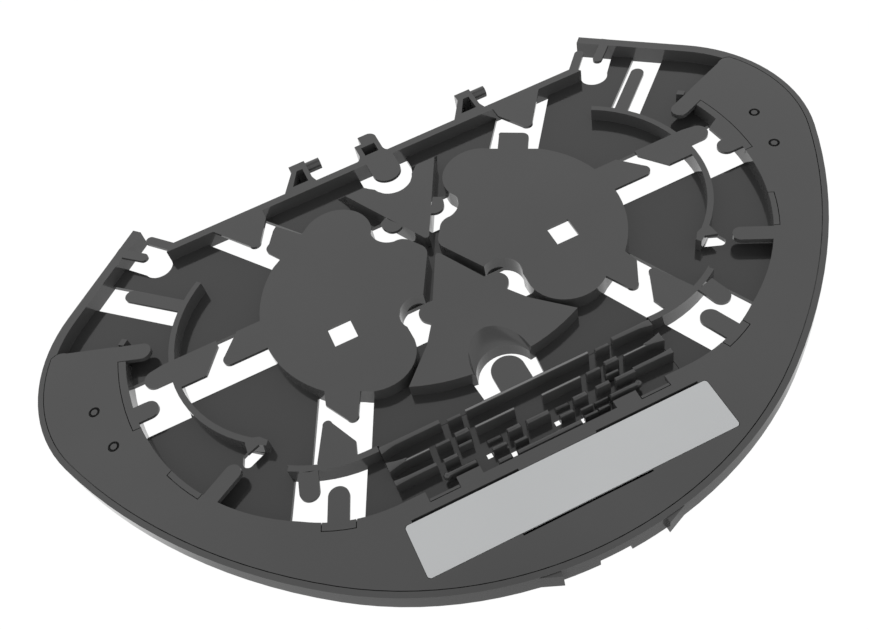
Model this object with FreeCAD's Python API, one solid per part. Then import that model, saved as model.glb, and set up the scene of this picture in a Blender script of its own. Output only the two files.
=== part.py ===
import FreeCAD, Part
import math
import os

# Fibre splice tray: a shallow D-shaped moulding with two hubs that fibre is wound round,
# a splice holder, a crescent cover and a label plate.
# X runs along the straight back wall, Y from the label to the hinge side, Z up.
# Shapes are laid out with y = 0 on the line through the two hub holes and z = 0 at the
# underside, and every piece is shifted at the end so that the origin is under the middle.

# Heights and walls
tray_height = 5.0
floor_thickness = 1.2
plate_thickness = 0.8
cover_thickness = 1.3
wall_thickness = 1.5
back_wall_thickness = 2.3
rim_wall = 2.6
rim_width = 1.35
hub_wall = 1.2
fit_gap = 0.12
cover_gap = 0.2

# Outer contour: a front arc, two flank arcs, two end arcs and two straight shoulders
front_reach = 77.4
front_radius = 91.9
end_offset = 65.6
end_centre_y = 14.5
end_radius = 39.3
flank_radius = 147.0
shoulder_angle = 47.1
shoulder_length = 31.1

# Back wall and the fork arms at its ends
back_wall_y = 53.5
back_wall_half = 63.0
fork_reach = (66.0, 57.9)
fork_radius = 1.3
shoulder_finger_root = (75.5, 59.0)
shoulder_finger_tip = (69.3, 53.0)
shoulder_finger_radius = 1.3

# Hubs: half the pitch of the square holes, and the plate round each hole
hub_half_pitch = 30.0
hub_hole = 6.0
hub_hole_y = 0.7
lobe_radius = 9.6
back_lobe = (20.6, 30.7)
front_lobe = (25.3, -9.6)

# Guide arcs
guide_radius = 34.5
arc_wall_centre = (37.5, 9.0)
arc_wall_angles = (-56.5, 53.0)
spur_centre = (35.5, 0.5)
spur_angles = (-93.0, -57.0)

# Moulding windows in the floor
window_margin = 2.85
back_window_x = 44.0
back_window_angle = 54.5
front_window_x = 43.9
front_window_angle = 114.0
slit_window_width = 13.6
gate_window_x = 46.95
gate_window_width = 16.7
end_window_width = 8.3

# Retaining plates and fingers across the guide arcs
bridge_front_y = 6.2
bridge_back_y = 15.1
bridge_tip = (76.0, 12.2)
end_finger_tip = (75.2, 41.2)
end_finger_radius = 1.8
side_finger_tip = (79.2, 4.0)
side_finger_radius = 2.4
front_finger_length = 6.6
front_finger_radius = 2.4
spur_finger_tip = (51.4, -35.6)
spur_finger_radius = 2.3
half_round_radius = 4.0
back_half_round_y = 46.0
half_round_length = 4.0

# Islands between the hubs
back_bay_radius = 5.65
back_bay_y = 42.35
back_bay_flare = 7.2
ramp_start = 38.5
ramp_end = 47.0
front_bay_radius = 7.2
front_bay_y = -28.6
scoop_length = 11.2
scoop_shift = 1.6
scoop_depth = 1.1
island_tab_radius = 2.9

# Well: the open area inside the cover, and the wall under the cover's inner edge
cover_front_width = 29.4
well_wall = 1.9
well_back_y = 21.9
strip_depth = 1.3

# Cover
cover_end_slope = 21.7
cover_end_x = 95.0
cover_end_y = 31.9
cover_finger_radius = 2.3
cover_finger_tip = (76.9, 22.1)
cover_finger_root = (86.0, 25.7)
side_bar_tip = (65.6, -22.5)
side_bar_root = (76.0, -28.6)
side_bar_radius = 2.0
ring_radius = 1.4
pin_radius = 0.8
boss_radius = 2.4
pin_places = ((91.8, 10.3), (89.4, -1.7))

# Label plate in its recess
label_width = 72.0
label_height = 12.8
label_thickness = 0.5
label_from_front = 17.8
label_corner = 0.8
pry_slot = 0.65

# Splice holder: its base, three rows of ribs, the clips between them and the front latches
holder_half = 34.0
holder_depth = 16.9
holder_under_cover = 1.6
holder_base = 0.6
seat_width = 1.2
rib_thickness = 1.3
rib_pitch = 4.8
rib_bevel = 0.42
flare_length = 4.0
flare_reach = 0.95
end_rib_length = 9.9
clip_length = 3.5
clip_thickness = 1.2
clip_reach = 3.4
latch_bar_thickness = 1.1
latch_knob_radius = 0.85
holder_wall = 1.3

# Hinge brackets, stub pins and latch on the back wall
hinge_reach = 9.3
stub_radius = 1.6
stub_length = 4.0
bracket_faces = (-18.8, 32.9)
bracket_wall = 1.4

# Front edge of the wall
lug_place = 12.0
lug_length = 4.5
lug_reach = 1.2
notch_half = 3.6
notch_height = 2.0

top = tray_height
plate_bottom = tray_height - plate_thickness
cover_bottom = tray_height - cover_thickness
front_centre_y = front_radius - front_reach
well_front_y = cover_front_width - front_reach
label_centre_y = label_from_front - front_reach
holder_front_y = well_front_y - holder_under_cover
holder_back_y = holder_front_y + holder_depth
cover_step_y = holder_front_y - 0.3
rail_front_y = holder_back_y - rib_thickness
back_inner_y = back_wall_y - back_wall_thickness


def vec(x, y, z=0.0):
    return FreeCAD.Vector(x, y, z)


def polar(centre, radius, degrees):
    angle = math.radians(degrees)
    return (centre[0] + radius * math.cos(angle), centre[1] + radius * math.sin(angle))


def outline(start, *steps):
    """A face from a start point and steps: (x, y) is a line, (via x, via y, x, y) an arc."""
    edges = []
    here = vec(*start)
    for step in steps + (start,):
        there = vec(*step[-2:])
        if (there - here).Length < 1e-6:
            continue
        if len(step) == 4:
            edges.append(Part.Arc(here, vec(*step[:2]), there).toShape())
        else:
            edges.append(Part.LineSegment(here, there).toShape())
        here = there
    return Part.Face(Part.Wire(edges))


def slab(face, bottom, height_top):
    lifted = face.copy()
    lifted.translate(vec(0, 0, bottom))
    return lifted.extrude(vec(0, 0, height_top - bottom))


def block(x0, x1, y0, y1, z0, z1):
    return slab(outline((x0, y0), (x1, y0), (x1, y1), (x0, y1)), z0, z1)


def mirrored(shape):
    return shape.mirror(vec(0, 0), vec(1, 0))


def both(shape):
    return [shape, mirrored(shape)]


def disc(centre, radius):
    circle = Part.Circle(vec(*centre), vec(0, 0, 1), radius)
    return Part.Face(Part.Wire(circle.toShape()))


def finger(root, tip, radius):
    """A flat bar from its root to a half-round tip."""
    length = math.hypot(tip[0] - root[0], tip[1] - root[1])
    ux = (tip[0] - root[0]) / length
    uy = (tip[1] - root[1]) / length
    side = (-uy * radius, ux * radius)
    return outline(
        (root[0] + side[0], root[1] + side[1]),
        (root[0] - side[0], root[1] - side[1]),
        (tip[0] - side[0], tip[1] - side[1]),
        (tip[0] + ux * radius, tip[1] + uy * radius, tip[0] + side[0], tip[1] + side[1]),
    )


def strip(place, degrees, width, start, stop):
    """A rectangle along a slanted line through a place."""
    angle = math.radians(degrees)
    along = (math.cos(angle), math.sin(angle))
    across = (-along[1] * width / 2, along[0] * width / 2)
    first = (place[0] + along[0] * start, place[1] + along[1] * start)
    last = (place[0] + along[0] * stop, place[1] + along[1] * stop)
    return outline(
        (first[0] - across[0], first[1] - across[1]),
        (last[0] - across[0], last[1] - across[1]),
        (last[0] + across[0], last[1] + across[1]),
        (first[0] + across[0], first[1] + across[1]),
    )


def arc_band(centre, outer, inner, angles):
    """A curved wall seen from above, between two angles."""
    middle = (angles[0] + angles[1]) / 2
    return outline(
        polar(centre, outer, angles[0]),
        polar(centre, outer, middle) + polar(centre, outer, angles[1]),
        polar(centre, inner, angles[1]),
        polar(centre, inner, middle) + polar(centre, inner, angles[0]),
    )


def flank_centre():
    """The centre of the flank arc that touches both the end arc and the front arc."""
    to_end = flank_radius - end_radius
    to_front = flank_radius - front_radius
    rise = end_centre_y - front_centre_y
    apart = math.hypot(end_offset, rise)
    along = (to_front ** 2 - to_end ** 2 + apart ** 2) / (2 * apart)
    across = math.sqrt(to_front ** 2 - along ** 2)
    return ((end_offset * along - rise * across) / apart,
            front_centre_y + (rise * along + end_offset * across) / apart)


def contour_points(inset):
    """Points of the right half of the contour, from the shoulder tip to the front."""
    end = (end_offset, end_centre_y)
    flank = flank_centre()
    front = (0.0, front_centre_y)
    turn = math.radians(shoulder_angle)
    corner = polar(end, end_radius - inset, shoulder_angle)
    tip = (corner[0] - math.sin(turn) * shoulder_length, corner[1] + math.cos(turn) * shoulder_length)
    low = math.degrees(math.atan2(end[1] - flank[1], end[0] - flank[0]))
    side = math.degrees(math.atan2(front[1] - flank[1], front[0] - flank[0]))
    return [
        tip,
        corner,
        polar(end, end_radius - inset, (shoulder_angle + low) / 2) + polar(end, end_radius - inset, low),
        polar(flank, flank_radius - inset, (low + side) / 2) + polar(flank, flank_radius - inset, side),
    ]


def reverse_steps(start, steps):
    """The same run of lines and arcs, walked the other way."""
    places = [start] + [step[-2:] for step in steps]
    back = []
    for index in range(len(steps) - 1, -1, -1):
        back.append(tuple(steps[index][:-2]) + tuple(places[index]))
    return back


def flip(step):
    return tuple(-value if index % 2 == 0 else value for index, value in enumerate(step))


def contour_steps(inset):
    """The whole contour from the right shoulder tip round the front to the left one."""
    right = contour_points(inset)
    left = [flip(step) for step in right]
    front = (0.0, inset - front_reach)
    back = reverse_steps(left[0], left[1:])
    return right[0], right[1:] + [front + tuple(left[-1][-2:])] + back


def contour(inset):
    start, steps = contour_steps(inset)
    return outline(start, *steps)


def contour_band(outer, inner):
    start, steps = contour_steps(outer)
    inner_start, inner_steps = contour_steps(inner)
    inner_end = inner_steps[-1][-2:]
    return outline(start, *steps, inner_end, *reverse_steps(inner_start, inner_steps))


def behind_tray():
    """The area behind the back wall, with the open notch between fork arm and shoulder."""
    return outline(
        (0.0, back_wall_y),
        (back_wall_half, back_wall_y),
        (back_wall_half, 50.2),
        (64.2, 48.3, 67.0, 47.4),
        (69.0, 48.0, 70.5, 49.9),
        (75.0, 55.2),
        (90.0, 72.0),
        (0.0, 72.0),
    )


def hub_body():
    """The outline of the right hub: two lobes and the side that the fibre is wound round."""
    back_top = polar(back_lobe, lobe_radius, 90)
    front_low = polar(front_lobe, lobe_radius + 0.4, 268)
    return outline(
        (2.1, 12.7),
        (1.85, 14.3, 2.3, 15.8),
        (4.2, 18.9),
        (5.6, 20.4, 8.0, 20.9),
        (11.2, 22.9, 12.3, 26.6),
        (11.3, 28.8),
        back_top + polar(back_lobe, lobe_radius, 45),
        (38.8, 29.8),
        (48.0, 8.0, 39.8, -12.8),
        (32.1, -17.2),
        front_low + (15.4, -10.3),
        (15.5, -6.0),
        (14.6, 0.3, 8.3, 1.0),
    )


def hub_plates():
    """The thin fingers round the hub, at the level of its top."""
    tongue = outline((46.5, bridge_back_y), (46.5, bridge_front_y), (57.2, bridge_front_y),
                     (58.9, 7.4, 58.3, 9.3), (53.4, bridge_back_y))
    back = outline((27.4, 33.0), (34.4, 28.7), (38.1, 35.1), (38.5, 36.6, 37.6, 38.0), (32.9, 41.3),
                   (32.3, 41.4, 31.9, 40.8))
    front = outline((32.1, -17.0), (39.6, -12.4), (40.7, -16.7), (37.6, -22.7),
                    (36.2, -23.9, 34.7, -22.6))
    return [tongue, back, front]


def back_island_body():
    return outline(
        (0.0, 17.4),
        (0.6, 17.7),
        (15.2, ramp_end),
        (back_bay_flare, ramp_end),
        (back_bay_radius, back_bay_y - 0.8),
        (0.0, back_bay_y - back_bay_radius, -back_bay_radius, back_bay_y - 0.8),
        (-back_bay_flare, ramp_end),
        (-15.2, ramp_end),
        (-0.6, 17.7),
    )


def front_island_body():
    edge = front_bay_y + math.sqrt(front_bay_radius ** 2 - 6.8 ** 2)
    return outline(
        (0.0, 11.4),
        (0.7, 10.8),
        (10.2, -8.3),
        (13.4, -13.2),
        (21.8, -21.9),
        (14.8, -24.6, 6.8, edge),
        (0.0, front_bay_y + front_bay_radius, -6.8, edge),
        (-14.8, -24.6, -21.8, -21.9),
        (-13.4, -13.2),
        (-10.2, -8.3),
        (-0.7, 10.8),
    )


def island_tabs():
    """The rounded ears of the islands over the small windows, right side."""
    back = outline((5.6, 27.5), (6.9, 29.7), (8.8, 28.5), (8.8, 27.0, 8.1, 25.1),
                   (6.3, 23.9, 4.3, 24.5), (3.5, 23.9))
    ear = polar((8.9, -4.9), island_tab_radius, 60)
    front = outline((5.5, -1.9), (8.6, -2.0), ear, (11.8, -4.9, 10.9, -7.2), (10.0, -8.2), (8.5, -7.0))
    return [back, front]


def well():
    """The open area inside the cover, closed at the back."""
    right = [
        (holder_half, well_front_y),
        (45.2, well_front_y + 1.6, 55.4, well_front_y + 6.6),
        (73.4, -24.3, 81.3, -5.0),
        (82.7, 8.0, 81.2, well_back_y),
    ]
    left = [flip(step) for step in right]
    return outline(right[0], *right[1:], left[-1][-2:], *reverse_steps(left[0], left[1:]))


def beyond_cover():
    """The area behind the cover's slanted end, right side."""
    slope = math.tan(math.radians(cover_end_slope))
    return outline(
        (0.0, well_back_y - 1.0),
        (81.5, well_back_y - 1.0),
        (83.2, cover_end_y - (cover_end_x - 83.2) * slope),
        (cover_end_x, cover_end_y),
        (98.4, 32.5, 100.2, 29.6),
        (112.0, 29.6),
        (112.0, 90.0),
        (0.0, 90.0),
    )


def notch_areas():
    """Where the cover's inner edge steps back round plates of the tray, right side."""
    side = outline((80.0, 0.0), (90.0, 0.0), (90.0, 30.0), (78.0, 30.0))
    front = strip((48.2, well_front_y + 2.2), 22.0, 12.0, -3.9, 3.9)
    return [(side, well_wall), (front, well_wall), (strip_area(), strip_depth)]


def strip_area():
    return strip((76.5, -20.0), 62.0, 12.0, -5.4, 5.4)


def cover_solid(grow, bottom, height_top):
    """The crescent plate with its bars, or with a little growth the pocket it lies in."""
    face = contour(rim_width + cover_gap).cut(well())
    for area in both(beyond_cover()):
        face = face.cut(area)
    for area, depth in notch_areas():
        grown = well().makeOffset2D(depth + cover_gap, 2)
        for side in both(area.common(grown)):
            face = face.cut(side)
    for area in holder_clearances():
        face = face.cut(area)
    plate = face.removeSplitter().Faces[0]
    if grow:
        plate = plate.makeOffset2D(grow, 0)
    bars = both(finger(cover_finger_root, cover_finger_tip, cover_finger_radius + grow))
    bars += both(finger(side_bar_root, side_bar_tip, side_bar_radius + grow))
    return slab(plate, bottom, height_top).multiFuse([slab(bar, bottom, height_top) for bar in bars])


def holder_clearances():
    """Steps in the cover's front inner edge round the splice holder."""
    inner = well_front_y + 1
    middle = outline((-16.1, inner), (16.1, inner), (16.1, cover_step_y), (-16.1, cover_step_y))
    foot_y = cover_step_y - 0.8
    foot = outline((21.7, inner), (29.0, inner), (29.0, foot_y), (21.7, foot_y))
    return [middle] + both(foot)


def label_face(grow):
    half = label_width / 2 + grow
    low = label_centre_y - label_height / 2 - grow
    high = label_centre_y + label_height / 2 + grow
    round_by = label_corner
    part_way = round_by * (1 - math.sqrt(0.5))
    return outline(
        (-half + round_by, low),
        (half - round_by, low),
        (half - part_way, low + part_way, half, low + round_by),
        (half, high - round_by),
        (half - part_way, high - part_way, half - round_by, high),
        (-half + round_by, high),
        (-half + part_way, high - part_way, -half, high - round_by),
        (-half, low + round_by),
        (-half + part_way, low + part_way, -half + round_by, low),
    )


def pry_slots():
    high = label_centre_y + label_height / 2
    low = label_centre_y - label_height / 2
    slots = [block(-15.0, 15.0, low - pry_slot, low + 0.3, cover_bottom, top)]
    slots += both(block(9.3, 34.2, high - 0.3, high + pry_slot, cover_bottom, top))
    return slots


def cover():
    body = cover_solid(0.0, cover_bottom, top)
    body = body.cut(slab(label_face(fit_gap), top - label_thickness, top))
    for slot in pry_slots():
        body = body.cut(slot)
    for place in pin_places:
        for hole in both(slab(disc(place, ring_radius), cover_bottom, top)):
            body = body.cut(hole)
    return body


def label_plate():
    return slab(label_face(0.0), top - label_thickness, top)


def floor_windows():
    """The openings that the moulding tool leaves under every overhanging finger."""
    hub_far = 24.0
    spur_disc = disc(spur_centre, guide_radius - wall_thickness / 2)
    right = [
        strip((back_window_x, back_inner_y), back_window_angle, slit_window_width, -hub_far, 6.0),
        strip((front_window_x, holder_back_y), front_window_angle, slit_window_width, -6.0, hub_far)
        .common(spur_disc),
        strip((gate_window_x, rail_front_y), front_window_angle, gate_window_width, -20.0, 6.0)
        .cut(spur_disc).common(well()),
        outline((42.0, bridge_front_y - window_margin), (72.0, bridge_front_y - window_margin),
                (72.0, bridge_back_y + window_margin), (42.0, bridge_back_y + window_margin)),
        outline((71.0, -0.65), (90.0, -0.65), (90.0, 16.0), (71.0, 16.0)).common(well()),
        strip(end_finger_tip, shoulder_angle - 4.0, end_window_width, -16.0, 20.0),
        outline((2.5, 21.6), (13.0, 21.6), (13.0, 32.0), (2.5, 32.0)),
        outline((5.5, -9.8), (16.6, -9.8), (16.6, 1.2), (5.5, 1.2)),
        outline((57.9, -19.0), (61.4, -20.6), (63.0, -20.4, 63.4, -19.3), (62.7, -17.3), (60.9, -16.4)),
    ]
    shapes = []
    for face in right:
        shapes += both(face)
    shapes.append(outline((-back_bay_flare, back_wall_y), (-back_bay_flare, 40.0), (back_bay_flare, 40.0),
                          (back_bay_flare, back_wall_y)))
    shapes.append(outline((-8.1, -20.0), (-8.1, -26.0), (-7.5, holder_back_y), (7.5, holder_back_y),
                          (8.1, -26.0), (8.1, -20.0)))
    return shapes


def hollow(face, wall):
    """A flat-topped shell over an outline, open underneath."""
    shell = slab(face, 0.0, top)
    inside = face.makeOffset2D(-wall, 2)
    return shell.cut(slab(inside, 0.0, plate_bottom))


def hub():
    shell = hollow(hub_body(), hub_wall)
    for face in hub_plates():
        shell = shell.fuse(slab(face, plate_bottom, top))
    half = hub_hole / 2
    hole = block(hub_half_pitch - half, hub_half_pitch + half, hub_hole_y - half, hub_hole_y + half, 0, top)
    return shell.cut(hole)


def oval(centre_y, half_width, half_length, level):
    """A closed oval in two halves that both start at its back."""
    centre = vec(0, centre_y, level)
    back = vec(0, centre_y + half_length, level)
    shape = Part.Ellipse(back, vec(half_width, centre_y, level), centre)
    halves = [Part.ArcOfEllipse(shape, 0, math.pi), Part.ArcOfEllipse(shape, math.pi, 2 * math.pi)]
    return Part.Wire([half.toShape() for half in halves])


def scoop():
    """The slanted trough that leads down to the front bay."""
    rim = oval(front_bay_y + scoop_shift, front_bay_radius, scoop_length, top)
    foot = oval(front_bay_y, front_bay_radius - 0.01, front_bay_radius, top - scoop_depth)
    return Part.makeLoft([foot, rim], True, True)


def front_island():
    shell = hollow(front_island_body(), hub_wall)
    backing = front_island_body().common(disc((0.0, front_bay_y), front_bay_radius + 7.5))
    shell = shell.fuse(slab(backing, plate_bottom - scoop_depth, top))
    return shell.cut(scoop())


def above_ramp(drop):
    """The space above the slope that leads from the back island's top down to the floor."""
    length = ramp_end - ramp_start
    height = top - floor_thickness
    radius = (length ** 2 + height ** 2) / (4 * height)
    half = math.asin(length / 2 / radius) / 2
    along, fall = radius * math.sin(half), radius * (1 - math.cos(half))
    middle = (ramp_start + length / 2, top - height / 2)
    points = [(ramp_start, top), (ramp_start + along, top - fall), middle,
              (ramp_end - along, floor_thickness + fall), (ramp_end, floor_thickness)]
    first, second, third, fourth, fifth = [vec(0, y, z - drop) for y, z in points]
    high = 2 * top
    edges = [Part.Arc(first, second, third).toShape(), Part.Arc(third, fourth, fifth).toShape()]
    edges.append(Part.makePolygon([fifth, vec(0, ramp_end + 1.0, fifth.z), vec(0, ramp_end + 1.0, high),
                                   vec(0, ramp_start, high), first]))
    profile = Part.Face(Part.Wire(edges))
    profile.translate(vec(-20.0, 0))
    return profile.extrude(vec(40.0, 0, 0))


def back_island():
    shell = slab(back_island_body(), 0.0, top).cut(above_ramp(0.0))
    inside = slab(back_island_body().makeOffset2D(-hub_wall, 2), 0.0, plate_bottom)
    return shell.cut(inside.cut(above_ramp(plate_thickness)))


def bridge_plates():
    """Plates that stand on the guide arc and close the winding channel, right side."""
    tip_low = bridge_tip[1] - 2.9
    bridge = outline(
        (63.9, bridge_front_y),
        (71.0, bridge_front_y),
        (71.9, tip_low),
        (76.0, tip_low),
        (78.4, 11.4, 76.4, bridge_back_y - 0.6),
        (73.0, bridge_back_y),
        (58.9, bridge_back_y),
        (58.9, 13.3),
    )
    gate = outline((38.2, rail_front_y + 1.0), (38.8, -32.4), (37.8, -29.0), (41.0, -21.9),
                   (41.9, -20.7, 43.3, -21.6), (47.6, -30.0), (47.3, -31.9))
    corner = outline((61.0, -19.8), (58.1, -18.7), (55.9, -18.5), (57.2, -16.8), (60.5, -15.5), (60.9, -17.2))
    return [bridge, gate, corner]


def tray_fingers():
    """Retaining fingers of the tray, right side."""
    return [
        finger((63.6, 30.4), end_finger_tip, end_finger_radius),
        finger((83.0, 4.0), side_finger_tip, side_finger_radius),
        outline((82.9, 14.0), (79.2, 11.8), (79.8, 5.0), (83.5, 5.0)),
        finger((48.6, well_front_y + 1.6), (46.0, well_front_y + 1.6 + front_finger_length), front_finger_radius),
        finger((50.2, -31.0), spur_finger_tip, spur_finger_radius),
        finger(shoulder_finger_root, shoulder_finger_tip, shoulder_finger_radius),
        finger((61.0, back_wall_y - 1.3), fork_reach, fork_radius),
        outline((35.1, back_wall_y), (35.1, 47.8), (38.9, 40.6), (40.6, 39.3, 42.1, 40.6),
                (49.5, back_inner_y), (49.5, back_wall_y)),
    ]


def spur():
    """The curved wall from the splice holder's end to the pointed spur, right side."""
    inner = guide_radius - wall_thickness
    band = arc_band(spur_centre, guide_radius, inner, spur_angles)
    point = polar(spur_centre, inner, spur_angles[1] + 1.0)
    near = polar(spur_centre, guide_radius, spur_angles[1] - 3.0)
    far = polar(spur_centre, inner, spur_angles[1] - 4.0)
    return [band, outline(near, point, far)]


def wall_faces():
    """Full-height walls of the tray seen from above."""
    inner = guide_radius - wall_thickness
    right = [arc_band(arc_wall_centre, guide_radius, inner, arc_wall_angles)] + spur()
    walls = [contour_band(0.0, rim_wall)]
    walls.append(outline((-back_wall_half, back_inner_y), (back_wall_half, back_inner_y),
                         (back_wall_half - 1.5, back_wall_y), (-back_wall_half + 1.5, back_wall_y)))
    for face in right:
        walls += both(face)
    ring = well().makeOffset2D(well_wall, 2).cut(well())
    beside = holder_half + fit_gap
    ring = ring.cut(outline((-beside, well_front_y - 9), (beside, well_front_y - 9),
                            (beside, well_front_y + 9), (-beside, well_front_y + 9)))
    end = beside + well_wall
    walls.append(outline((-end, cover_step_y - holder_wall), (end, cover_step_y - holder_wall),
                         (end, cover_step_y), (-end, cover_step_y)))
    above = outline((-120, well_back_y), (120, well_back_y), (120, 90), (-120, 90))
    walls.append(ring.cut(above))
    return walls


def hinge_bracket(face_x):
    """A triangular bracket with its stub pin pointing along +X."""
    back = back_wall_y + hinge_reach
    left = face_x - 4.7
    frame = outline(
        (face_x + 0.8, back_wall_y - 0.5),
        (face_x, back_wall_y + 2.0),
        (face_x, back),
        (left, back),
        (left, back - 2.6),
        (left - 4.4, back_wall_y - 0.5),
    )
    opening = outline(
        (face_x - bracket_wall, back_wall_y + 1.2),
        (face_x - bracket_wall, back - 2.8),
        (left + 1.6, back - 2.8),
        (left - 1.3, back_wall_y + 1.2),
    )
    bracket = slab(frame, 0.0, top).cut(slab(opening, floor_thickness, top))
    base = vec(face_x - 0.2, back - stub_radius, top - stub_radius)
    stub = Part.makeCylinder(stub_radius, stub_length + 0.2, base, vec(1, 0, 0))
    return bracket.fuse(stub)


def latch():
    back = back_wall_y + hinge_reach - 0.2
    frame = outline(
        (-6.5, back_wall_y - 0.3),
        (-4.9, 54.2, -4.4, 56.0),
        (-4.4, 59.6),
        (-2.3, 59.6),
        (-2.3, back),
        (0.4, back),
        (2.0, back - 0.8, 2.5, back - 2.2),
        (2.5, 55.2),
        (2.9, 54.0, 4.0, back_wall_y - 0.3),
    )
    slot = outline((-2.9, 54.6), (1.1, 54.6), (1.1, 58.1), (-2.9, 58.1))
    return slab(frame, 0.0, top).cut(slab(slot, floor_thickness, top))


def front_lug():
    """A wedge on the outside of the front wall, right side."""
    radius = front_radius - 0.5
    centre = (0.0, front_centre_y)
    steep = polar(centre, front_radius, -90 + math.degrees(lug_place / front_radius))
    far = math.degrees((lug_place + lug_length) / front_radius)
    face = outline(
        polar(centre, radius, -90 + math.degrees(lug_place / front_radius)),
        (steep[0], steep[1] - lug_reach),
        polar(centre, front_radius, -90 + far),
        polar(centre, radius, -90 + far),
    )
    return slab(face, 0.0, top - 0.3)


def cover_nub():
    """A small post behind the cover's end finger, right side."""
    return slab(outline((79.6, 28.2), (81.0, 26.9), (82.2, 27.9), (80.8, 29.3)), 0.0, top - 0.6)


def holder_seat():
    """The opening in the floor and the ledge that the splice holder rests on."""
    grow = fit_gap
    upper = block(-holder_half - grow, holder_half + grow, holder_front_y - grow, holder_back_y + grow,
                  floor_thickness - holder_base, top)
    inner = block(-holder_half + seat_width, holder_half - seat_width, holder_front_y + seat_width,
                  holder_back_y - seat_width, 0.0, floor_thickness)
    return upper.fuse(inner)


def tray():
    floor = contour(rim_wall / 2)
    for area in both(behind_tray()) + floor_windows():
        floor = floor.cut(area)
    bodies = both(hub_body()) + [back_island_body(), front_island_body()]
    for area in bodies:
        floor = floor.cut(area)
    body = slab(floor, 0.0, floor_thickness)
    pieces = [slab(face, 0.0, top) for face in wall_faces()]
    pieces += both(hub()) + [back_island(), front_island()]
    for face in bridge_plates() + tray_fingers() + island_tabs():
        pieces += both(slab(face, plate_bottom, top))
    tab = finger((0.0, back_wall_y - 1.0), (0.0, back_half_round_y), half_round_radius)
    pieces.append(slab(tab, plate_bottom, top))
    pieces += [hinge_bracket(face_x) for face_x in bracket_faces]
    pieces.append(latch())
    pieces += both(front_lug()) + both(cover_nub())
    for place in pin_places:
        pieces += both(slab(disc(place, boss_radius), 0.0, cover_bottom))
    body = body.multiFuse(pieces)
    body = body.cut(cover_solid(cover_gap, cover_bottom, top + 1.0))
    for place in pin_places:
        for pin in both(slab(disc(place, pin_radius), cover_bottom - 0.5, top)):
            body = body.fuse(pin)
    body = body.cut(holder_seat())
    body = body.cut(block(-notch_half, notch_half, -front_reach - 1.0, rim_wall - front_reach,
                          0.0, notch_height))
    return body.removeSplitter()


def ridge(left, right, place, thickness):
    """An upright rib of the splice holder with bevelled upper edges."""
    half = thickness / 2
    foot = floor_thickness - holder_base / 2
    corners = [
        (place - half, foot),
        (place - half, top - rib_bevel),
        (place - half + rib_bevel, top),
        (place + half - rib_bevel, top),
        (place + half, top - rib_bevel),
        (place + half, foot),
    ]
    return prism(left, right, corners)


def prism(left, right, corners):
    points = [vec(left, y, z) for y, z in corners]
    face = Part.Face(Part.makePolygon(points + points[:1]))
    return face.extrude(vec(right - left, 0, 0))


def sprung_clip(left, place):
    """A clip with an upright back and a sloping front, which holds a splice down."""
    foot = floor_thickness - holder_base / 2
    corners = [
        (place + clip_thickness / 2, foot),
        (place + clip_thickness / 2, top - rib_bevel),
        (place + clip_thickness / 2 - rib_bevel, top),
        (place - clip_thickness / 4, top),
        (place - clip_reach + 0.6, floor_thickness + 0.5),
        (place - clip_reach, foot),
    ]
    return prism(left, left + clip_length, corners)


def end_rib(place, back_flare, front_flare):
    """A rib at the holder's right end that flares into a lead-in."""
    inner = holder_half - end_rib_length
    start = holder_half - flare_length
    half = rib_thickness / 2
    face = outline(
        (inner, place - half),
        (start, place - half),
        (holder_half, place - half - front_flare),
        (holder_half, place + half + back_flare),
        (start, place + half),
        (inner, place + half),
    )
    return slab(face, floor_thickness - holder_base / 2, top)


def latch_bar(knob, end, place):
    """A low bar at the holder's front that ends in a round knob."""
    half = latch_bar_thickness / 2
    low, high = min(knob, end), max(knob, end)
    foot = floor_thickness - holder_base / 2
    bar = block(low, high, place - half, place + half, foot, top)
    return [bar, slab(disc((knob, place), latch_knob_radius), foot, top)]


def holder_ribs():
    """Ribs, clips and latch bars of the splice holder."""
    row = [holder_back_y - rib_thickness / 2 - rib_pitch * index for index in range(4)]
    inner = holder_half - end_rib_length
    pieces = [ridge(-13.2, 17.8, row[0], rib_thickness)]
    pieces += both(ridge(3.5, 13.1, row[1], rib_thickness))
    pieces += [end_rib(row[0], 0.0, flare_reach), mirrored(end_rib(row[0], 0.0, flare_reach))]
    pieces.append(ridge(-inner, -19.3, row[0], rib_thickness))
    pieces += both(end_rib(row[1], flare_reach, flare_reach))
    pieces += both(end_rib(row[2], flare_reach, 0.4))
    pieces.append(ridge(19.4, inner, row[2], rib_thickness))
    pieces.append(ridge(-2.6, 3.0, row[2] - 0.2, rib_thickness))
    for left in (-18.0, 19.2):
        pieces.append(ridge(left, left + clip_length, row[0] - 0.9, clip_thickness))
    for left in (-22.6, 14.5):
        pieces.append(ridge(left, left + clip_length, row[1] - 0.6, clip_thickness))
    for left in (-17.9, 19.3):
        pieces.append(sprung_clip(left, row[1] + 0.5))
    for left in (-22.6, 14.5, 8.9, -7.4):
        pieces.append(ridge(left, left + clip_length, row[2], clip_thickness))
    for left in (-12.0, 4.7):
        pieces.append(ridge(left, left + clip_length, row[2] - 0.7, clip_thickness))
        pieces.append(ridge(left, left + clip_length, row[2] - 2.3, clip_thickness))
    front = row[2] - 3.2
    pieces += latch_bar(-23.8, -15.0, front)
    pieces += latch_bar(23.8, 9.0, front)
    pieces.append(ridge(-7.3, -4.2, front, clip_thickness))
    pieces.append(ridge(8.8, 15.2, front - 1.9, latch_bar_thickness))
    pieces.append(ridge(-12.1, -9.0, front - 2.8, latch_bar_thickness))
    pieces.append(ridge(-7.5, 8.0, front - 2.8, latch_bar_thickness))
    return pieces


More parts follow.
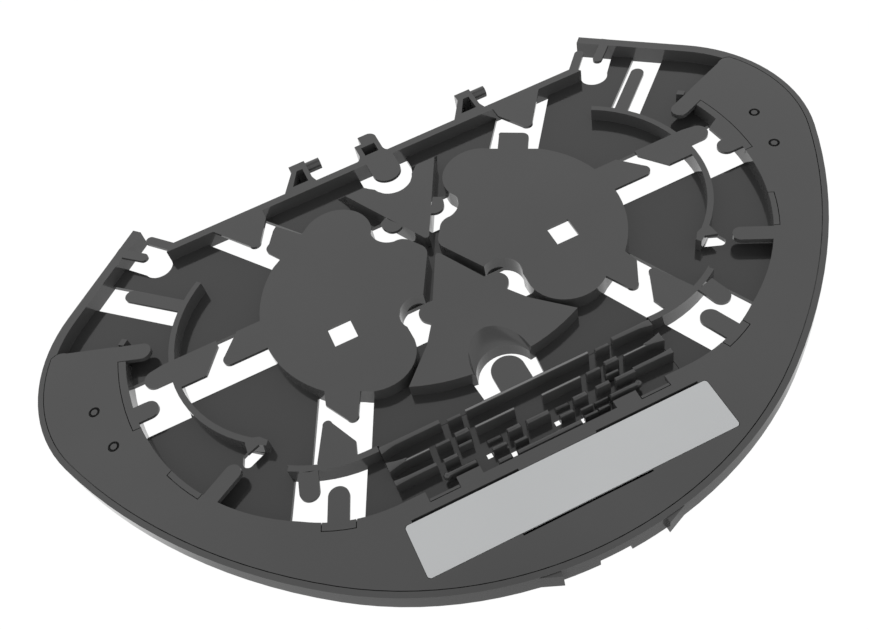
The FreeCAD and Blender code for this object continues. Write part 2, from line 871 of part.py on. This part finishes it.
def splice_holder():
    base = block(-holder_half, holder_half, holder_front_y, holder_back_y,
                 floor_thickness - holder_base, floor_thickness)
    tab = finger((0.0, holder_back_y - 0.6), (0.0, holder_back_y + half_round_length), half_round_radius)
    body = base.multiFuse(holder_ribs() + [slab(tab, plate_bottom, top)])
    for x, y in ((-12.7, 4.8), (4.0, 4.8), (-7.7, 2.6), (9.2, 2.6)):
        middle = holder_front_y + y
        body = body.cut(block(x - 0.65, x + 0.65, middle - 0.7, middle + 0.7, 0.0, floor_thickness))
    return body.removeSplitter()


def write_parts():
    os.makedirs("parts", exist_ok=True)
    pieces = {
        "tray": tray(),
        "cover": cover(),
        "splice_holder": splice_holder(),
        "label_plate": label_plate(),
    }
    box = FreeCAD.BoundBox()
    for shape in pieces.values():
        box.add(shape.BoundBox)
    shift = vec(0.0, -(box.YMin + box.YMax) / 2)
    for name, shape in pieces.items():
        shape.translate(shift)
        solids = shape.Solids
        print(name, "solids", len(solids), "volume", round(shape.Volume, 1), "valid", shape.isValid())
        solid = solids[0] if len(solids) == 1 else Part.makeCompound(solids)
        solid.exportStep(os.path.join("parts", name + ".step"))
    print("box", [round(value, 3) for value in (box.XLength, box.YLength, box.ZLength)],
          "shift", round(shift.y, 4))


write_parts()
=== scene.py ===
import bmesh
import bpy
import math
from mathutils import Euler, Matrix, Vector


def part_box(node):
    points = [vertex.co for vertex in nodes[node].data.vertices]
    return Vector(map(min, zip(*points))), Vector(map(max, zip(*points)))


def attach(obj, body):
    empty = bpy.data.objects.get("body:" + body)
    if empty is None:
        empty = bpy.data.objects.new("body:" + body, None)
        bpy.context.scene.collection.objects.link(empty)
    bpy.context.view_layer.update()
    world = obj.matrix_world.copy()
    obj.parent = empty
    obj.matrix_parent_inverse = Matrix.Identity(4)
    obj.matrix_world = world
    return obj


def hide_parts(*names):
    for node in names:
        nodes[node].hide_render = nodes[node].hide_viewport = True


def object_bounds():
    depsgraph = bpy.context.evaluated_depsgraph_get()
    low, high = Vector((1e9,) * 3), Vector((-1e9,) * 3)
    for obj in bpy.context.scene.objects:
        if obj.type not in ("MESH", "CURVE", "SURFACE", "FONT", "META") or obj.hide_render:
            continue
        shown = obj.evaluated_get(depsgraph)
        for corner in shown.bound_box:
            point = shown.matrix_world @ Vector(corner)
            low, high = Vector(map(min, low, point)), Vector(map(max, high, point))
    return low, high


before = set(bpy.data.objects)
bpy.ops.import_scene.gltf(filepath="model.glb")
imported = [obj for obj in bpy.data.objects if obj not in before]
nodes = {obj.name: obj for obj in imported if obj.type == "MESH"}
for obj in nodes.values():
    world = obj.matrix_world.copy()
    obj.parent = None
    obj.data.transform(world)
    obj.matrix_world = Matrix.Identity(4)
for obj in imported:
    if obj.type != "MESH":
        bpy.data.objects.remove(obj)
cad_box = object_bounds()

# Lengths are in millimetres, and heights are from the underside. Outlines are seen from above, with
# y = 0 on the line through the two hub holes. LAYOUT_Y is where that line lies in the frame.
holder_low, holder_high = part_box("splice_holder")
HOLDER_FRONT = -49.6
HOLDER_HALF_LENGTH = round(holder_high[0] * 1000, 3)
HOLDER_UNDERSIDE = round(holder_low[2] * 1000, 3)
LAYOUT_Y = round(holder_low[1] * 1000 - HOLDER_FRONT, 3)
TOP = round(cad_box[1][2] * 1000, 3)
FLOOR_TOP = 1.2
# How far a cutting shape reaches past the surface that it cuts
CLEAR = 1.0
SHARP_ANGLE = math.radians(35.0)
ROUND_SEGMENTS = 4

# Patterns of the moulded plastic, in features per metre
CLOUD_SCALE = 28.0
SMEAR_SCALE = 130.0
GRAIN_SCALE = 2600.0
# Depth of the grain and the heights between which painted shade darkens level floors, in metres
GRAIN_DEPTH = 0.000002
GRAIN_STRENGTH = 0.35
UNSHADED_ABOVE = 0.0034
FULL_SHADE_BELOW = 0.0020
# Upward part of the normal on a sloping face and on a level one
SLOPING = 0.3
LEVEL = 0.8
PLASTIC_IOR = 1.5
LABEL_IOR = 1.45


def grey(value):
    return (value, value, value)


# Colours of each plastic: two tones of its flow clouds, and the painted shade on its low level floors
DARK_TONES = (grey(0.050), grey(0.055), grey(0.028))
# Painted highlight: this lighter grey stands in for the light caught on the level tops of some ribs
HIGHLIGHT_TONES = (grey(0.15), grey(0.17), grey(0.15))
LABEL_TONES = ((0.49, 0.50, 0.505), (0.51, 0.52, 0.525), (0.49, 0.50, 0.505))


# Materials: moulded dark grey plastic, a lighter grey for painted highlights, and the light label
def new_material(name):
    material = bpy.data.materials.new(name)
    material.use_nodes = True
    tree = material.node_tree
    shader = tree.nodes["Principled BSDF"]
    return material, tree, shader


def noise(tree, source, scale, detail):
    node = tree.nodes.new("ShaderNodeTexNoise")
    node.inputs["Scale"].default_value = scale
    node.inputs["Detail"].default_value = detail
    tree.links.new(source, node.inputs["Vector"])
    return node.outputs["Fac"]


def spread(tree, source, low, high):
    """The middle range of a noise, spread from one value to another."""
    node = tree.nodes.new("ShaderNodeMapRange")
    node.inputs["From Min"].default_value = 0.3
    node.inputs["From Max"].default_value = 0.7
    node.inputs["To Min"].default_value = low
    node.inputs["To Max"].default_value = high
    tree.links.new(source, node.inputs["Value"])
    return node.outputs["Result"]


def stepped(tree, source, start, end):
    """A soft step from 0 at the start value to 1 at the end value."""
    node = tree.nodes.new("ShaderNodeMapRange")
    node.interpolation_type = "SMOOTHSTEP"
    node.inputs["From Min"].default_value = start
    node.inputs["From Max"].default_value = end
    tree.links.new(source, node.inputs["Value"])
    return node.outputs["Result"]


def mixed(tree, factor, first, second):
    """A blend from a colour, or the output of another node, to a second colour."""
    node = tree.nodes.new("ShaderNodeMix")
    node.data_type = "RGBA"
    if isinstance(first, tuple):
        node.inputs["A"].default_value = first + (1.0,)
    else:
        tree.links.new(first, node.inputs["A"])
    node.inputs["B"].default_value = second + (1.0,)
    tree.links.new(factor, node.inputs["Factor"])
    return node.outputs["Result"]


def times(tree, first, second):
    node = tree.nodes.new("ShaderNodeMath")
    node.operation = "MULTIPLY"
    tree.links.new(first, node.inputs[0])
    tree.links.new(second, node.inputs[1])
    return node.outputs["Value"]


def up_part(tree, source):
    node = tree.nodes.new("ShaderNodeSeparateXYZ")
    tree.links.new(source, node.inputs["Vector"])
    return node.outputs["Z"]


def plastic(name, tones, smoothest, roughest, ior=PLASTIC_IOR):
    """Injection-moulded plastic with faint flow clouds and a fine grain, and painted shade darkening its
    low level floors.
    """
    dark, light, painted_floor_shade = tones
    material, tree, shader = new_material(name)
    coordinates = tree.nodes.new("ShaderNodeTexCoord")
    place = coordinates.outputs["Object"]
    clouds = noise(tree, place, CLOUD_SCALE, detail=3.0)
    smears = noise(tree, place, SMEAR_SCALE, detail=4.0)
    grain = noise(tree, place, GRAIN_SCALE, detail=2.0)
    skin = mixed(tree, spread(tree, clouds, 0.0, 1.0), dark, light)
    # Painted shade: level faces low in the moulding get a darker colour, standing in for the shade in
    # its channels and recesses
    low = stepped(tree, up_part(tree, place), UNSHADED_ABOVE, FULL_SHADE_BELOW)
    level = stepped(tree, up_part(tree, coordinates.outputs["Normal"]), SLOPING, LEVEL)
    colour = mixed(tree, times(tree, low, level), skin, painted_floor_shade)
    tree.links.new(colour, shader.inputs["Base Color"])
    tree.links.new(spread(tree, smears, smoothest, roughest), shader.inputs["Roughness"])
    bump = tree.nodes.new("ShaderNodeBump")
    bump.inputs["Strength"].default_value = GRAIN_STRENGTH
    bump.inputs["Distance"].default_value = GRAIN_DEPTH
    tree.links.new(grain, bump.inputs["Height"])
    tree.links.new(bump.outputs["Normal"], shader.inputs["Normal"])
    shader.inputs["IOR"].default_value = ior
    return material


tray_plastic = plastic("tray_plastic", DARK_TONES, smoothest=0.08, roughest=0.12)
cover_plastic = plastic("cover_plastic", DARK_TONES, smoothest=0.08, roughest=0.13)
holder_plastic = plastic("holder_plastic", DARK_TONES, smoothest=0.09, roughest=0.13)
# Painted highlight on the level tops of some holder ribs
painted_highlight_plastic = plastic("painted_highlight_plastic", HIGHLIGHT_TONES, smoothest=0.12, roughest=0.16)
label_plastic = plastic("label_plastic", LABEL_TONES, smoothest=0.34, roughest=0.42, ior=LABEL_IOR)

for node, material in (("tray", tray_plastic), ("cover", cover_plastic),
                       ("splice_holder", holder_plastic), ("label_plate", label_plastic)):
    for slot in nodes[node].material_slots:
        slot.material = material


# Shapes that both mouldings are made with
def spot(x, y, z):
    """A place of the layout, in metres in the frame."""
    return (x / 1000, (y + LAYOUT_Y) / 1000, z / 1000)


def flip_x(outline):
    return [(-x, y) for x, y in reversed(outline)]


def rectangle(left, right, front, back):
    return [(left, front), (right, front), (right, back), (left, back)]


def add_column(mesh, outline, low, high, round_by=0.0):
    """A closed prism over an outline, with its upper edges rounded."""
    foot = mesh.faces.new([mesh.verts.new(spot(x, y, low)) for x, y in outline])
    raised = bmesh.ops.extrude_face_region(mesh, geom=[foot])["geom"]
    upper = [part for part in raised if isinstance(part, bmesh.types.BMVert)]
    bmesh.ops.translate(mesh, verts=upper, vec=(0.0, 0.0, (high - low) / 1000))
    if round_by:
        edges = [part for part in raised if isinstance(part, bmesh.types.BMEdge)]
        bmesh.ops.bevel(mesh, geom=edges, offset=round_by / 1000, segments=ROUND_SEGMENTS,
                        profile=0.5, affect="EDGES")


def shade(data):
    """Smooth curves with sharp corners."""
    data.shade_smooth()
    data.set_sharp_from_angle(angle=SHARP_ANGLE)


def finished(name, mesh, material):
    """An object from a mesh in the making."""
    bmesh.ops.recalc_face_normals(mesh, faces=mesh.faces)
    data = bpy.data.meshes.new(name)
    mesh.to_mesh(data)
    mesh.free()
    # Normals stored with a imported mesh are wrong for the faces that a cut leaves
    if "custom_normal" in data.attributes:
        data.attributes.remove(data.attributes["custom_normal"])
    shade(data)
    data.materials.append(material)
    piece = bpy.data.objects.new(name, data)
    bpy.context.scene.collection.objects.link(piece)
    return piece


def column_piece(name, outline, low, high):
    mesh = bmesh.new()
    add_column(mesh, outline, low, high)
    return finished(name, mesh, tray_plastic)


def combine(piece, tool, operation):
    """Cuts a tool shape from a piece or joins it on, and removes the tool."""
    step = piece.modifiers.new(operation.lower(), "BOOLEAN")
    step.operation = operation
    step.solver = "EXACT"
    step.object = tool
    bpy.context.view_layer.update()
    result = bpy.data.meshes.new_from_object(piece.evaluated_get(bpy.context.evaluated_depsgraph_get()))
    piece.modifiers.remove(step)
    piece.data = result
    bpy.data.objects.remove(tool)


# The tray again, with a flat back island, an upright edge on the left window plate, no left side
# plate and a curved scoop
ISLAND_CORNER = [(4.04, 38.4), (10.9, 38.4), (13.3, 43.2), (7.7, 43.2), (6.8, 42.1), (5.5, 40.9),
                 (5.0, 39.7)]
WINDOW_PLATE = [(-33.7, 43.3), (-34.8, 42.2), (-38.45, 36.3), (-36.5, 35.5), (-29.5, 35.0),
                (-28.5, 36.7), (-32.2, 41.5)]
WINDOW_PLATE_BOTTOM = 4.2
SIDE_PLATE = [(-78.5, 6.45), (-78.5, 15.0), (-82.2, 15.0), (-82.54, 12.0), (-82.67, 8.0),
              (-82.66, 6.45)]
SIDE_PLATE_THICKNESS = 0.85
MERGE_DISTANCE = 1e-7
LEVEL_NORMAL = 0.99999

BAY_Y = -28.6
BAY_RADIUS = 7.19
SCOOP_Y = -27.0
SCOOP_HALF_WIDTH = 7.35
SCOOP_HALF_LENGTH = 11.3
SCOOP_DEPTH = 1.2
# Share at which the dish starts, a little outside the scoop's rim, so that no step is left there
SCOOP_START = -0.04
SCOOP_RINGS = 14
SCOOP_TURNS = 96


def dish_ring(mesh, share, level):
    """One ring of the dish, from the scoop's rim at share 0 to the front bay at share 1."""
    wide = SCOOP_HALF_WIDTH * (1 - share) + BAY_RADIUS * share
    long = SCOOP_HALF_LENGTH * (1 - share) + BAY_RADIUS * share
    middle = SCOOP_Y * (1 - share) + BAY_Y * share
    turns = [math.tau * index / SCOOP_TURNS for index in range(SCOOP_TURNS)]
    return [mesh.verts.new(spot(wide * math.cos(turn), middle + long * math.sin(turn), level))
            for turn in turns]


def scoop_cutter():
    """A dish that is steep at the scoop's rim and level where it meets the front bay."""
    mesh = bmesh.new()
    rings = [dish_ring(mesh, SCOOP_START, TOP + CLEAR)]
    for share in [SCOOP_START] + [index / SCOOP_RINGS for index in range(1, SCOOP_RINGS + 1)]:
        rings.append(dish_ring(mesh, share, TOP - SCOOP_DEPTH * (1 - (1 - share) ** 2)))
    for upper, lower in zip(rings, rings[1:]):
        for index in range(SCOOP_TURNS):
            after = (index + 1) % SCOOP_TURNS
            mesh.faces.new((upper[index], upper[after], lower[after], lower[index]))
    mesh.faces.new(rings[0])
    mesh.faces.new(list(reversed(rings[-1])))
    return finished("dish", mesh, tray_plastic)


def sharpen_level_faces(data):
    """Keeps level faces flat in the light where a gentle slope starts at their edge."""
    mesh = bmesh.new()
    mesh.from_mesh(data)
    for edge in mesh.edges:
        if [abs(face.normal.z) > LEVEL_NORMAL for face in edge.link_faces].count(True) == 1:
            edge.smooth = False
    mesh.to_mesh(data)
    mesh.free()


def refined_tray():
    mesh = bmesh.new()
    mesh.from_mesh(nodes["tray"].data)
    bmesh.ops.remove_doubles(mesh, verts=mesh.verts, dist=MERGE_DISTANCE)
    piece = finished("tray_moulding", mesh, tray_plastic)
    for outline in (ISLAND_CORNER, flip_x(ISLAND_CORNER)):
        combine(piece, column_piece("corner", outline, FLOOR_TOP, TOP), "UNION")
    combine(piece, column_piece("plate", WINDOW_PLATE, WINDOW_PLATE_BOTTOM, TOP), "UNION")
    trim = column_piece("trim", SIDE_PLATE, TOP - SIDE_PLATE_THICKNESS, TOP + CLEAR)
    combine(piece, trim, "DIFFERENCE")
    combine(piece, scoop_cutter(), "DIFFERENCE")
    shade(piece.data)
    sharpen_level_faces(piece.data)
    return piece


tray_moulding = refined_tray()
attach(tray_moulding, "root")
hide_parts("tray")


# The splice holder again, with thin ribs that have rounded tops
HOLDER_BACK = -32.7
# Ribs start inside the base, halfway up
RIB_FOOT = (FLOOR_TOP + HOLDER_UNDERSIDE) / 2
# Middles of the square holes in the base
BASE_HOLES = ((-12.7, -44.8), (4.0, -44.8), (-7.7, -47.0), (9.2, -47.0))
HOLE_HALF_WIDTH = 0.65
HOLE_HALF_LENGTH = 0.7
# Plain ribs: left, right, middle, thickness, top
PLAIN_RIBS = (
    (-17.8, -14.4, -34.30, 0.75, TOP), (19.4, 22.9, -34.30, 0.75, TOP),
    (-22.6, -19.1, -38.90, 0.75, TOP), (14.6, 18.1, -38.90, 0.75, TOP),
    (-17.8, -14.3, -38.45, 1.30, TOP), (19.4, 22.8, -38.45, 1.30, TOP),
    (-18.1, -14.8, -40.90, 0.75, 4.0), (18.4, 21.6, -40.90, 0.75, 4.0),
    (-22.5, -19.1, -43.10, 1.00, TOP), (14.7, 18.1, -43.10, 1.00, TOP),
    (-7.2, -3.9, -43.15, 1.20, TOP), (9.0, 12.4, -43.15, 1.20, TOP),
    (-2.6, 3.0, -43.25, 1.20, TOP), (19.4, 24.4, -43.30, 1.00, TOP),
    (-12.0, -8.4, -42.10, 1.10, 2.4), (4.9, 8.3, -42.10, 1.10, 2.4),
    (-11.9, -8.3, -45.20, 0.90, 4.1), (4.6, 8.0, -45.20, 0.90, 4.1),
    (-6.9, -3.7, -45.80, 0.90, 3.6), (9.3, 12.3, -45.90, 0.60, 4.0),
    (12.9, 16.4, -45.40, 0.60, 3.0), (9.4, 12.8, -47.40, 0.80, 3.1),
    (12.9, 15.7, -47.30, 0.80, 3.1), (-12.1, -9.0, -48.95, 1.10, TOP),
    (-7.5, 8.0, -48.95, 1.10, TOP),
)
# Share of half a rib's thickness that is rounded away at its top
RIB_ROUNDING = 0.7
# Ribs with a painted highlight on their level top: left, right, front face, width of the top
HIGHLIGHTED_RIBS = (
    (-13.1, 17.7, -34.40, 0.60), (-12.9, -3.4, -39.20, 0.50), (3.5, 13.1, -39.20, 0.50),
    (-29.8, -24.1, -39.15, 0.40), (24.1, 29.8, -39.15, 0.40),
)
FRONT_BEVEL = 0.1
BACK_BEVEL = 0.25
# Ribs to both ends: middle, half thickness, flare to the back and front, inner end right and left
END_RIBS = (
    (-33.62, 0.55, 0.0, 0.80, 24.1, 19.3),
    (-38.70, 0.42, 1.0, 0.78, 29.4, 29.4),
    (-43.00, 0.45, 0.3, 0.20, 24.1, 24.1),
)
END_ROUNDING = 0.15
FLARE_START = 29.6
FLARE_LENGTH = HOLDER_HALF_LENGTH - FLARE_START
FLARE_CURVE = 1.6
FLARE_STEPS = 5
# Latch rods: the end with the knob, the other end
LATCH_RODS = ((-23.1, -16.0), (23.6, 16.6))
ROD_Y = -46.0
ROD_HALF_WIDTH = 0.6
ROD_TOP = 4.1
ROD_ROUNDING = 0.55
KNOB_RADIUS = 0.95
KNOB_HEIGHT = 3.3
# Half-round tab at the back of the holder
TAB_RADIUS = 4.0
TAB_MIDDLE_Y = -29.3
TAB_FRONT = -33.78
TAB_BOTTOM = 4.2
TAB_STEP_DEGREES = 6


def holder_base():
    """The thin base with its square holes, as a mesh in the making."""
    mesh = bmesh.new()
    plate = rectangle(-HOLDER_HALF_LENGTH, HOLDER_HALF_LENGTH, HOLDER_FRONT, HOLDER_BACK)
    add_column(mesh, plate, HOLDER_UNDERSIDE, FLOOR_TOP)
    base = finished("holder_base", mesh, holder_plastic)
    for x, y in BASE_HOLES:
        hole = rectangle(x - HOLE_HALF_WIDTH, x + HOLE_HALF_WIDTH,
                         y - HOLE_HALF_LENGTH, y + HOLE_HALF_LENGTH)
        combine(base, column_piece("hole", hole, 0.0, FLOOR_TOP + CLEAR), "DIFFERENCE")
    mesh = bmesh.new()
    mesh.from_mesh(base.data)
    bpy.data.objects.remove(base)
    return mesh


def add_plain_rib(mesh, left, right, middle, thickness, high):
    half = thickness / 2
    add_column(mesh, rectangle(left, right, middle - half, middle + half), RIB_FOOT, high,
               half * RIB_ROUNDING)


def add_highlighted_rib(mesh, left, right, front, level):
    """A rib with narrow bevels and a level top painted lighter as a highlight."""
    back = front + level
    profile = ((front, RIB_FOOT), (front, TOP - FRONT_BEVEL), (front + FRONT_BEVEL, TOP), (back, TOP),
               (back + BACK_BEVEL, TOP - BACK_BEVEL), (back + BACK_BEVEL, RIB_FOOT))
    end = mesh.faces.new([mesh.verts.new(spot(left, y, z)) for y, z in profile])
    raised = bmesh.ops.extrude_face_region(mesh, geom=[end])["geom"]
    moved = [part for part in raised if isinstance(part, bmesh.types.BMVert)]
    bmesh.ops.translate(mesh, verts=moved, vec=((right - left) / 1000, 0.0, 0.0))
    # The level top gets the second material, the painted highlight
    for face in {face for vertex in moved for face in vertex.link_faces}:
        if min(vertex.co.z for vertex in face.verts) > (TOP - FRONT_BEVEL / 2) / 1000:
            face.material_index = 1


def end_rib(middle, half, back_flare, front_flare, inner):
    """The outline of a right end rib, which widens along a curve to its end."""
    steps = [index / FLARE_STEPS for index in range(1, FLARE_STEPS + 1)]
    front = [(FLARE_START + FLARE_LENGTH * step, middle - half - front_flare * step ** FLARE_CURVE)
             for step in steps]
    back = [(FLARE_START + FLARE_LENGTH * step, middle + half + back_flare * step ** FLARE_CURVE)
            for step in reversed(steps)]
    return [(inner, middle - half)] + front + back + [(inner, middle + half)]


def add_latch_rod(mesh, knob, end):
    """A rounded rod with a ball at its outer end."""
    rod = rectangle(min(knob, end), max(knob, end), ROD_Y - ROD_HALF_WIDTH, ROD_Y + ROD_HALF_WIDTH)
    add_column(mesh, rod, RIB_FOOT, ROD_TOP, ROD_ROUNDING)
    place = Matrix.Translation(Vector(spot(knob, ROD_Y, KNOB_HEIGHT)))
    bmesh.ops.create_uvsphere(mesh, u_segments=32, v_segments=16, radius=KNOB_RADIUS / 1000,
                              matrix=place)


def add_tab(mesh):
    """The half-round tab that holds fibre down at the middle."""
    angles = [math.radians(angle) for angle in range(0, 181, TAB_STEP_DEGREES)]
    tip = [(TAB_RADIUS * math.cos(angle), TAB_MIDDLE_Y + TAB_RADIUS * math.sin(angle))
           for angle in angles]
    add_column(mesh, tip + [(-TAB_RADIUS, TAB_FRONT), (TAB_RADIUS, TAB_FRONT)], TAB_BOTTOM, TOP)


def refined_holder():
    mesh = holder_base()
    for rib in PLAIN_RIBS:
        add_plain_rib(mesh, *rib)
    for rib in HIGHLIGHTED_RIBS:
        add_highlighted_rib(mesh, *rib)
    for middle, half, back_flare, front_flare, right_inner, left_inner in END_RIBS:
        right = end_rib(middle, half, back_flare, front_flare, right_inner)
        left = flip_x(end_rib(middle, half, back_flare, front_flare, left_inner))
        add_column(mesh, right, RIB_FOOT, TOP, END_ROUNDING)
        add_column(mesh, left, RIB_FOOT, TOP, END_ROUNDING)
    for knob, end in LATCH_RODS:
        add_latch_rod(mesh, knob, end)
    add_tab(mesh)
    piece = finished("holder_moulding", mesh, holder_plastic)
    # Second material: the painted highlight on rib tops
    piece.data.materials.append(painted_highlight_plastic)
    return piece


holder_moulding = refined_holder()
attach(holder_moulding, "root")
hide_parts("splice_holder")


# Pale floor just under the tray, in metres. It gives its own white, so nothing throws a shadow on it,
# and the plastic doesn't mirror it.
FLOOR_REACH = 3.0
FLOOR_HEIGHT = -0.0002
floor_mesh = bpy.data.meshes.new("floor")
floor_corners = rectangle(-FLOOR_REACH, FLOOR_REACH, -FLOOR_REACH, FLOOR_REACH)
floor_mesh.from_pydata([(x, y, 0.0) for x, y in floor_corners], [], [(0, 1, 2, 3)])
floor = bpy.data.objects.new("floor", floor_mesh)
floor.location = (0.0, 0.0, FLOOR_HEIGHT)
bpy.context.scene.collection.objects.link(floor)
floor_material, floor_tree, floor_shader = new_material("floor_white")
floor_shader.inputs["Base Color"].default_value = grey(0.02) + (1.0,)
floor_shader.inputs["Roughness"].default_value = 1.0
floor_shader.inputs["Specular IOR Level"].default_value = 0.0
floor_shader.inputs["Emission Color"].default_value = grey(1.0) + (1.0,)
floor_shader.inputs["Emission Strength"].default_value = 1.0
floor_mesh.materials.append(floor_material)
floor.visible_glossy = False


# Light: a soft surround, bright all round the horizon, dimmer overhead and below. Each stop is an
# elevation in degrees and its brightness.
SKY = ((-90.0, 0.35), (-59.0, 0.42), (-53.0, 1.0), (56.0, 1.0), (66.0, 0.88), (74.0, 0.45), (90.0, 0.30))
world = bpy.data.worlds.new("surround")
bpy.context.scene.world = world
world.use_nodes = True
world_tree = world.node_tree
direction = world_tree.nodes.new("ShaderNodeTexCoord").outputs["Generated"]
ramp = world_tree.nodes.new("ShaderNodeValToRGB")
heights = world_tree.nodes.new("ShaderNodeMapRange")
heights.inputs["From Min"].default_value = -1.0
world_tree.links.new(up_part(world_tree, direction), heights.inputs["Value"])
world_tree.links.new(heights.outputs["Result"], ramp.inputs["Fac"])
world_tree.links.new(ramp.outputs["Color"], world_tree.nodes["Background"].inputs["Color"])
while len(ramp.color_ramp.elements) < len(SKY):
    ramp.color_ramp.elements.new(0.5)
# All places are set before the colours, because a stop that moves can change the order of the stops
for stop, (elevation, brightness) in zip(ramp.color_ramp.elements, SKY):
    stop.position = (math.sin(math.radians(elevation)) + 1) / 2
for stop, (elevation, brightness) in zip(ramp.color_ramp.elements, SKY):
    stop.color = grey(brightness) + (1.0,)


# Camera where the photograph was taken from: its place in millimetres and its turns in degrees
PHOTO_WIDTH = 869.0
FOCAL_PIXELS = 979.85
SENSOR_WIDTH = 36.0
CAMERA_PLACE = (-35.716, -141.445, 190.437)
CAMERA_TURNS = (36.8197, 9.8605, -23.7840)
camera_data = bpy.data.cameras.new("camera")
camera_data.sensor_width = SENSOR_WIDTH
camera_data.sensor_fit = "HORIZONTAL"
camera_data.lens = FOCAL_PIXELS * SENSOR_WIDTH / PHOTO_WIDTH
camera_data.clip_start = 0.01
camera_data.clip_end = 20.0
camera = bpy.data.objects.new("camera", camera_data)
bpy.context.scene.collection.objects.link(camera)
camera_turns = Euler([math.radians(turn) for turn in CAMERA_TURNS])
camera.matrix_world = Matrix.LocRotScale(Vector(CAMERA_PLACE) / 1000, camera_turns, None)
bpy.context.scene.camera = camera

bpy.context.scene.view_settings.view_transform = "Standard"
